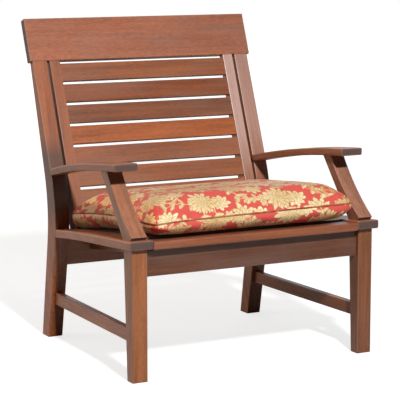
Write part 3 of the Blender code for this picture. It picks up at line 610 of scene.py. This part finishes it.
# A blossom is four rings of petals, the smaller over the larger, and darker on one side
blossom, given, result = new_group(
    "blossom",
    [("Spot", "Vector", None), ("Pick", "Float", 0.0), ("Size", "Float", 0.05), ("Petals", "Float", 14.0)],
    [("Inside", "Float"), ("Tone", "Float")])
PETAL_RINGS = ((1.0, 0.42, 0.0), (0.80, 0.30, 0.37), (0.60, 0.18, 0.71), (0.40, 0.04, 0.2))
spread = split(blossom, given["Spot"])
radius = maths(blossom, "DIVIDE", vectors(blossom, "LENGTH", given["Spot"]), given["Size"])
angle = maths(blossom, "ARCTAN2", spread[1], spread[0])
tone = None
for tip, root, phase in PETAL_RINGS:
    ring = wire(blossom, "ShaderNodeGroup", {"node_tree": petals}, Radius=radius, Angle=angle, Tip=tip, Root=root,
                Petals=given["Petals"], Phase=phase, Pick=given["Pick"]).outputs
    if tone is None:
        feed(blossom, result["Inside"], ring["Inside"])
        tone = ring["Tone"]
    else:
        tone = wire(blossom, "ShaderNodeMix", {"data_type": "FLOAT"},
                    i0=ring["Inside"], i2=tone, i3=ring["Tone"]).outputs[0]
shaded_side = maths(blossom, "MULTIPLY_ADD", maths(blossom, "DIVIDE", spread[0], given["Size"]), 0.24, 0.86)
feed(blossom, result["Tone"], maths(blossom, "MULTIPLY", tone, shaded_side))

# A leaf spray is a bowed stem with slanting pairs of leaves, each with a pale midrib
spray, given, result = new_group(
    "leaf_spray",
    [("Spot", "Vector", None), ("Pick", "Float", 0.0), ("Reach", "Float", 0.06)],
    [("Inside", "Float"), ("Tone", "Float")])
STEM_BOW = 0.34
STEM_EDGES = (0.036, 0.020)
LEAF_SPACING = 0.5
LEAF_SLANT = (0.80, 0.60)
LEAF_MIDDLE, LEAF_HALF_LENGTH, LEAF_HALF_WIDTH = 0.23, 0.22, 0.115
spread = split(spray, given["Spot"])
run = maths(spray, "DIVIDE", spread[0], given["Reach"])
bow = maths(spray, "MULTIPLY", maths(spray, "MULTIPLY", run, run), maths(spray, "MULTIPLY", given["Reach"], STEM_BOW))
off = maths(spray, "DIVIDE", maths(spray, "SUBTRACT", spread[1], bow), given["Reach"])
off_side = maths(spray, "ABSOLUTE", off)
within = mapped(spray, maths(spray, "ABSOLUTE", run), 1.0, 0.96)
stem = maths(spray, "MULTIPLY", within, mapped(spray, off_side, *STEM_EDGES))
pair = maths(spray, "SUBTRACT", maths(spray, "FLOORED_MODULO", run, LEAF_SPACING), LEAF_SPACING / 2.0)
lengthwise = maths(spray, "MULTIPLY_ADD", off_side, LEAF_SLANT[0], maths(spray, "MULTIPLY", pair, LEAF_SLANT[1]))
breadth = maths(spray, "MULTIPLY_ADD", off_side, -LEAF_SLANT[1], maths(spray, "MULTIPLY", pair, LEAF_SLANT[0]))
leaf_run = maths(spray, "DIVIDE", maths(spray, "SUBTRACT", lengthwise, LEAF_MIDDLE), LEAF_HALF_LENGTH)
leaf_off = maths(spray, "DIVIDE", breadth, LEAF_HALF_WIDTH)
leaf_edge = maths(spray, "MULTIPLY_ADD", leaf_off, leaf_off, maths(spray, "MULTIPLY", leaf_run, leaf_run))
leaf = maths(spray, "MULTIPLY", within, mapped(spray, leaf_edge, 1.08, 0.92))
feed(spray, result["Inside"], maths(spray, "MAXIMUM", stem, leaf))
midrib = mapped(spray, maths(spray, "ABSOLUTE", leaf_off), 0.0, 1.0, 1.0, 0.35)
feed(spray, result["Tone"], maths(spray, "MAXIMUM", maths(spray, "MULTIPLY", stem, 0.9), midrib))

# Plain weave, warp over weft, with thicker threads here and there
weave, given, result = new_group(
    "plain_weave",
    [("Cloth", "Vector", None), ("Threads", "Float", 1300.0)],
    [("Height", "Float"), ("Slub", "Float")])
SLUB_WAVES = (900.0, 120.0, 1.0)
thread = split(weave, wire(weave, "ShaderNodeVectorMath", {"operation": "SCALE"},
                           i0=given["Cloth"], Scale=given["Threads"]).outputs[0])
warp = maths(weave, "SINE", maths(weave, "MULTIPLY", thread[0], math.pi))
weft = maths(weave, "SINE", maths(weave, "MULTIPLY", thread[1], math.pi))
feed(weave, result["Height"], maths(weave, "MULTIPLY", warp, weft))
slub = wire(weave, "ShaderNodeTexNoise", Vector=vectors(weave, "MULTIPLY", given["Cloth"], SLUB_WAVES),
            Scale=1.0, Detail=1.0)
feed(weave, result["Slub"], slub.outputs["Fac"])

cotton, tree, shader = new_material("printed_cotton")
sewn_uv = wire(tree, "ShaderNodeUVMap", {"uv_map": "cloth"})
cloth_space = wire(tree, "ShaderNodeVectorMath", {"operation": "SCALE"},
                   i0=sewn_uv.outputs[0], Scale=1.0 / CLOTH_SCALE).outputs[0]

# The outlines waver as if drawn by hand, and fine hatching breaks up the inks
WAVER_REACH = (0.010, 0.010, 0.0)
WAVERS_PER_METRE, HATCHES_PER_METRE = 55.0, 330.0
ripple = wire(tree, "ShaderNodeTexNoise", Vector=cloth_space, Scale=WAVERS_PER_METRE, Detail=2.0)
drawn = vectors(tree, "MULTIPLY_ADD", ripple.outputs["Color"], WAVER_REACH, cloth_space)
fine_lines = wire(tree, "ShaderNodeTexNoise", Vector=cloth_space, Scale=HATCHES_PER_METRE, Detail=1.0)
hatching = mapped(tree, fine_lines.outputs["Fac"], 0.35, 0.65, 0.70, 1.12)
DEEPER_INK = (0.74, 0.59, 0.40, 1.0)


def print_layer(under, motif, ramp_stops, width, height, offset, sway, **sizes):
    """Prints one repeat of a motif over what is already there, and gives its outline too."""
    repeat = wire(tree, "ShaderNodeGroup", {"node_tree": lattice}, Cloth=drawn, Width=width, Height=height,
                  Offset=offset, Sway=sway).outputs
    drawing = wire(tree, "ShaderNodeGroup", {"node_tree": motif}, Spot=repeat["Spot"],
                   Pick=repeat["Pick"], **sizes).outputs
    inks = wire(tree, "ShaderNodeValToRGB", Fac=maths(tree, "MULTIPLY", drawing["Tone"], hatching))
    inks.color_ramp.elements[0].color = ramp_stops[0]
    inks.color_ramp.elements[1].color = ramp_stops[-1]
    for place, ink in enumerate(ramp_stops[1:-1], start=1):
        stop = inks.color_ramp.elements.new(place / (len(ramp_stops) - 1))
        stop.color = ink
    deeper = blend_colours(tree, 1.0, inks.outputs[0], DEEPER_INK, "MULTIPLY")
    printed = blend_colours(tree, repeat["Pick"], inks.outputs[0], deeper)
    return blend_colours(tree, drawing["Inside"], under, printed), drawing["Inside"]


RED_GROUND = (0.67, 0.080, 0.060, 1.0)
LEAF_INKS = [(0.22, 0.110, 0.025, 1.0), (0.68, 0.47, 0.18, 1.0), (0.95, 0.78, 0.48, 1.0)]
BLOSSOM_INKS = [(0.20, 0.095, 0.020, 1.0), (0.60, 0.39, 0.130, 1.0),
                (0.90, 0.70, 0.37, 1.0), (0.97, 0.82, 0.55, 1.0)]
layers = [dict(motif=spray, ramp_stops=LEAF_INKS, width=0.118, height=0.126,
               offset=(0.032, 0.014, 0.0), sway=0.02, Reach=0.061),
          dict(motif=spray, ramp_stops=LEAF_INKS, width=0.112, height=0.120,
               offset=(0.085, 0.072, 0.0), sway=0.02, Reach=0.054),
          dict(motif=blossom, ramp_stops=BLOSSOM_INKS, width=0.104, height=0.112,
               offset=(0.020, 0.030, 0.0), sway=0.03, Size=0.023, Petals=7.0),
          dict(motif=blossom, ramp_stops=BLOSSOM_INKS, width=0.118, height=0.126,
               offset=(0.091, 0.054, 0.0), sway=0.02, Size=0.037, Petals=9.0),
          dict(motif=blossom, ramp_stops=BLOSSOM_INKS, width=0.118, height=0.126,
               offset=(0.032, 0.110, 0.0), sway=0.016, Size=0.053, Petals=12.0)]
colour = RED_GROUND
inked = 0.0
for layer in layers:
    colour, outline = print_layer(colour, **layer)
    inked = maths(tree, "MAXIMUM", inked, outline)

threads = wire(tree, "ShaderNodeGroup", {"node_tree": weave}, Cloth=cloth_space).outputs
uneven = mapped(tree, threads["Slub"], 0.3, 0.7, 0.90, 1.05)
yarn = wire(tree, "ShaderNodeCombineColor", Red=uneven, Green=uneven, Blue=uneven)
colour = blend_colours(tree, 1.0, colour, yarn.outputs[0], "MULTIPLY")

# Faces that look sideways are painted deeper and more golden: painted shade on the cushion's ends
END_SHADE_TINT = (0.96, 0.70, 0.42, 1.0)
sideways = maths(tree, "ABSOLUTE", split(tree, wire(tree, "ShaderNodeTexCoord").outputs["Normal"])[0])
shaded_ends = blend_colours(tree, 1.0, colour, END_SHADE_TINT, "MULTIPLY")
colour = blend_colours(tree, mapped(tree, sideways, 0.20, 0.70), colour, shaded_ends)
feed(tree, shader.inputs["Base Color"], colour)

# Sized cotton has a soft sheen, and the printed inks are more satin than the ground
GROUND_SATIN, INK_SATIN = 0.25, 0.75
feed(tree, shader.inputs["Coat Weight"], maths(tree, "MULTIPLY_ADD", inked, INK_SATIN, GROUND_SATIN))
feed(tree, shader.inputs["Coat Roughness"], 0.55)
feed(tree, shader.inputs["Coat IOR"], 1.8)
feed(tree, shader.inputs["Sheen Weight"], 0.12)


def cotton_surface(tree, shader, thread_height):
    """Dull cotton with its threads in low relief."""
    woven = wire(tree, "ShaderNodeBump", Strength=0.35, Distance=0.0003, Height=thread_height)
    feed(tree, shader.inputs["Normal"], woven.outputs[0])
    feed(tree, shader.inputs["Roughness"], 0.85)
    feed(tree, shader.inputs["Specular IOR Level"], 0.25)


cotton_surface(tree, shader, threads["Height"])
cushion.data.materials.clear()
cushion.data.materials.append(cotton)
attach(cushion, "root")
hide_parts("seat_cushion")

# Welt
# A cord covered in the same cotton, sewn into the seam all round the cushion.
# It stands a little proud of the seam and hides the stitches.
WELT_RADIUS = 0.0024
WELT_PROUD = 0.0012
neighbours = {}
for first, second in seam_edges:
    neighbours.setdefault(first, []).append(second)
    neighbours.setdefault(second, []).append(first)
loop_order = [seam_points[0]]
while True:
    onward = [index for index in neighbours[loop_order[-1]] if index not in loop_order[-2:]]
    if not onward or onward[0] == loop_order[0] or len(loop_order) > len(seam_points):
        break
    loop_order.append(onward[0])
seam_line = [cushion.data.vertices[index].co.copy() for index in loop_order]
middle = sum(seam_line, Vector()) / len(seam_line)
cord_path = bpy.data.curves.new("cushion_welt", "CURVE")
cord_path.dimensions = "3D"
cord_path.bevel_depth = WELT_RADIUS
cord_path.bevel_resolution = 3
cord_run = cord_path.splines.new("POLY")
cord_run.points.add(len(seam_line) - 1)
for point, spot in zip(cord_run.points, seam_line):
    outward = Vector((spot.x - middle.x, spot.y - middle.y, 0.0)).normalized()
    point.co = (*(spot + outward * WELT_PROUD), 1.0)
cord_run.use_cyclic_u = True
welt = bpy.data.objects.new("cushion_welt", cord_path)
bpy.context.scene.collection.objects.link(welt)
bpy.ops.object.select_all(action="DESELECT")
welt.select_set(True)
bpy.context.view_layer.objects.active = welt
bpy.ops.object.convert(target="MESH")
welt = bpy.context.object
bpy.ops.object.shade_smooth()

# The welt's red and gold are darker than the print's: painted shade for the crease along the seam
WELT_SHADED_RED = (0.36, 0.055, 0.040, 1.0)
WELT_SHADED_GOLD = (0.40, 0.225, 0.080, 1.0)
PATCHES_PER_METRE = 34.0
binding, tree, shader = new_material("welt_cotton")
place = wire(tree, "ShaderNodeTexCoord").outputs["Object"]
patches = wire(tree, "ShaderNodeTexNoise", Vector=place, Scale=PATCHES_PER_METRE, Detail=2.0)
inks = wire(tree, "ShaderNodeValToRGB", Fac=patches.outputs["Fac"])
for stop, position, ink in zip(inks.color_ramp.elements, (0.40, 0.62), (WELT_SHADED_RED, WELT_SHADED_GOLD)):
    stop.position = position
    stop.color = ink
feed(tree, shader.inputs["Base Color"], inks.outputs[0])
threads = wire(tree, "ShaderNodeGroup", {"node_tree": weave}, Cloth=place)
cotton_surface(tree, shader, threads.outputs["Height"])
welt.data.materials.clear()
welt.data.materials.append(binding)
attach(welt, "root")

# Studio
# A pale floor that takes the chair's shadow, and a plain white wall far behind it.
# The camera sees both as white paper.
WHITE = (1.0, 1.0, 1.0, 1.0)
FLOOR_SIZE = 24.0
FLOOR_BOUNCE = (0.17, 0.17, 0.17, 1.0)
FLOOR_SEEN = (0.90, 0.90, 0.90, 1.0)
FLOOR_GLOW_SHARE = 0.5
GLOW_DISTANCES = (1.6, 5.0)
GLOW_NEAR, GLOW_FAR = 1.48, 2.0
bpy.ops.object.select_all(action="DESELECT")
bpy.ops.mesh.primitive_plane_add(size=FLOOR_SIZE, location=(0.0, 0.0, 0.0))
floor = bpy.context.object
floor.name = "studio_floor"
paper, tree, shader = new_material("pale_paper")
feed(tree, shader.inputs["Roughness"], 0.9)
feed(tree, shader.inputs["Specular IOR Level"], 0.1)
seen = wire(tree, "ShaderNodeLightPath").outputs
looked_at = maths(tree, "MAXIMUM", seen["Is Camera Ray"], seen["Is Glossy Ray"])
feed(tree, shader.inputs["Base Color"], blend_colours(tree, looked_at, FLOOR_BOUNCE, FLOOR_SEEN))
away = vectors(tree, "LENGTH", wire(tree, "ShaderNodeTexCoord").outputs["Object"])
paleness = mapped(tree, away, *GLOW_DISTANCES, GLOW_NEAR, GLOW_FAR)
white = wire(tree, "ShaderNodeEmission", Color=WHITE, Strength=paleness)
share = maths(tree, "MULTIPLY", seen["Is Camera Ray"], FLOOR_GLOW_SHARE)
mixed = wire(tree, "ShaderNodeMixShader", i0=share, i1=shader.outputs[0], i2=white.outputs[0])
feed(tree, tree.nodes["Material Output"].inputs["Surface"], mixed.outputs[0])
floor.data.materials.append(paper)

WALL_HALF, WALL_BACK, WALL_HEIGHT = 12.0, 11.8, 12.0
bpy.ops.object.select_all(action="DESELECT")
bpy.ops.mesh.primitive_plane_add(size=1.0, location=(0.0, 0.0, 0.0))
wall = bpy.context.object
wall.name = "studio_wall"
wall_corners = [(x, WALL_BACK, z) for z in (0.0, WALL_HEIGHT) for x in (-WALL_HALF, WALL_HALF)]
for vert, spot in zip(wall.data.vertices, wall_corners):
    vert.co = spot
glow, tree, _ = new_material("lit_paper")
white = wire(tree, "ShaderNodeEmission", Color=WHITE, Strength=1.0)
feed(tree, tree.nodes["Material Output"].inputs["Surface"], white.outputs[0])
wall.data.materials.append(glow)

# Studio light
# One lamp high in front and a little to the left, a large warm panel behind at the left,
# a weak panel overhead, and a dim room.


def studio_lamp(name, place, aim, wide, high, watts, tint=(1.0, 1.0, 1.0)):
    """Area lamp at a place, turned to its aim; a disk where it has no height."""
    light = bpy.data.lights.new(name, "AREA")
    light.shape = "RECTANGLE" if high else "DISK"
    light.size = wide
    if high:
        light.size_y = high
    light.energy = watts
    light.color = tint
    lamp = bpy.data.objects.new(name, light)
    bpy.context.scene.collection.objects.link(lamp)
    lamp.location = place
    lamp.rotation_euler = (Vector(aim) - Vector(place)).to_track_quat("-Z", "Y").to_euler()


studio_lamp("key_lamp", place=(-0.75, -3.82, 3.40), aim=(0.0, 0.0, 0.4), wide=0.36, high=0.0, watts=252.0)
studio_lamp("left_panel", place=(-2.6, 1.9, 1.2), aim=(0.0, 0.6, 0.5), wide=2.2, high=2.4, watts=36.0,
            tint=(1.0, 0.86, 0.70))
studio_lamp("top_panel", place=(0.0, -0.2, 3.2), aim=(0.0, 0.0, 0.4), wide=1.6, high=1.6, watts=11.0)

ROOM_LIGHT, ROOM_IN_GLOSS, ROOM_IN_VIEW = 0.015, 0.22, 0.95
room = bpy.data.worlds.new("pale_room")
room.use_nodes = True
bpy.context.scene.world = room
tree = room.node_tree
backdrop = tree.nodes["Background"]
feed(tree, backdrop.inputs["Color"], WHITE)
seen = wire(tree, "ShaderNodeLightPath").outputs
level = maths(tree, "MULTIPLY_ADD", seen["Is Glossy Ray"], ROOM_IN_GLOSS, ROOM_LIGHT)
level = maths(tree, "MULTIPLY_ADD", seen["Is Camera Ray"], ROOM_IN_VIEW, level)
feed(tree, backdrop.inputs["Strength"], level)

# Camera
# A long lens from the front left, held higher than the crest
# and tipped down a little.
TIPPED_DOWN = 8.753
TURNED_RIGHT = 28.151
view = bpy.data.cameras.new("camera")
view.lens = 153.88
view.sensor_width = 36.0
camera = bpy.data.objects.new("camera", view)
bpy.context.scene.collection.objects.link(camera)
camera.location = (-2.29258, -4.33032, 1.16934)
camera.rotation_euler = (math.radians(90.0 - TIPPED_DOWN), 0.0, math.radians(-TURNED_RIGHT))
bpy.context.scene.camera = camera
bpy.context.scene.view_settings.view_transform = "Standard"
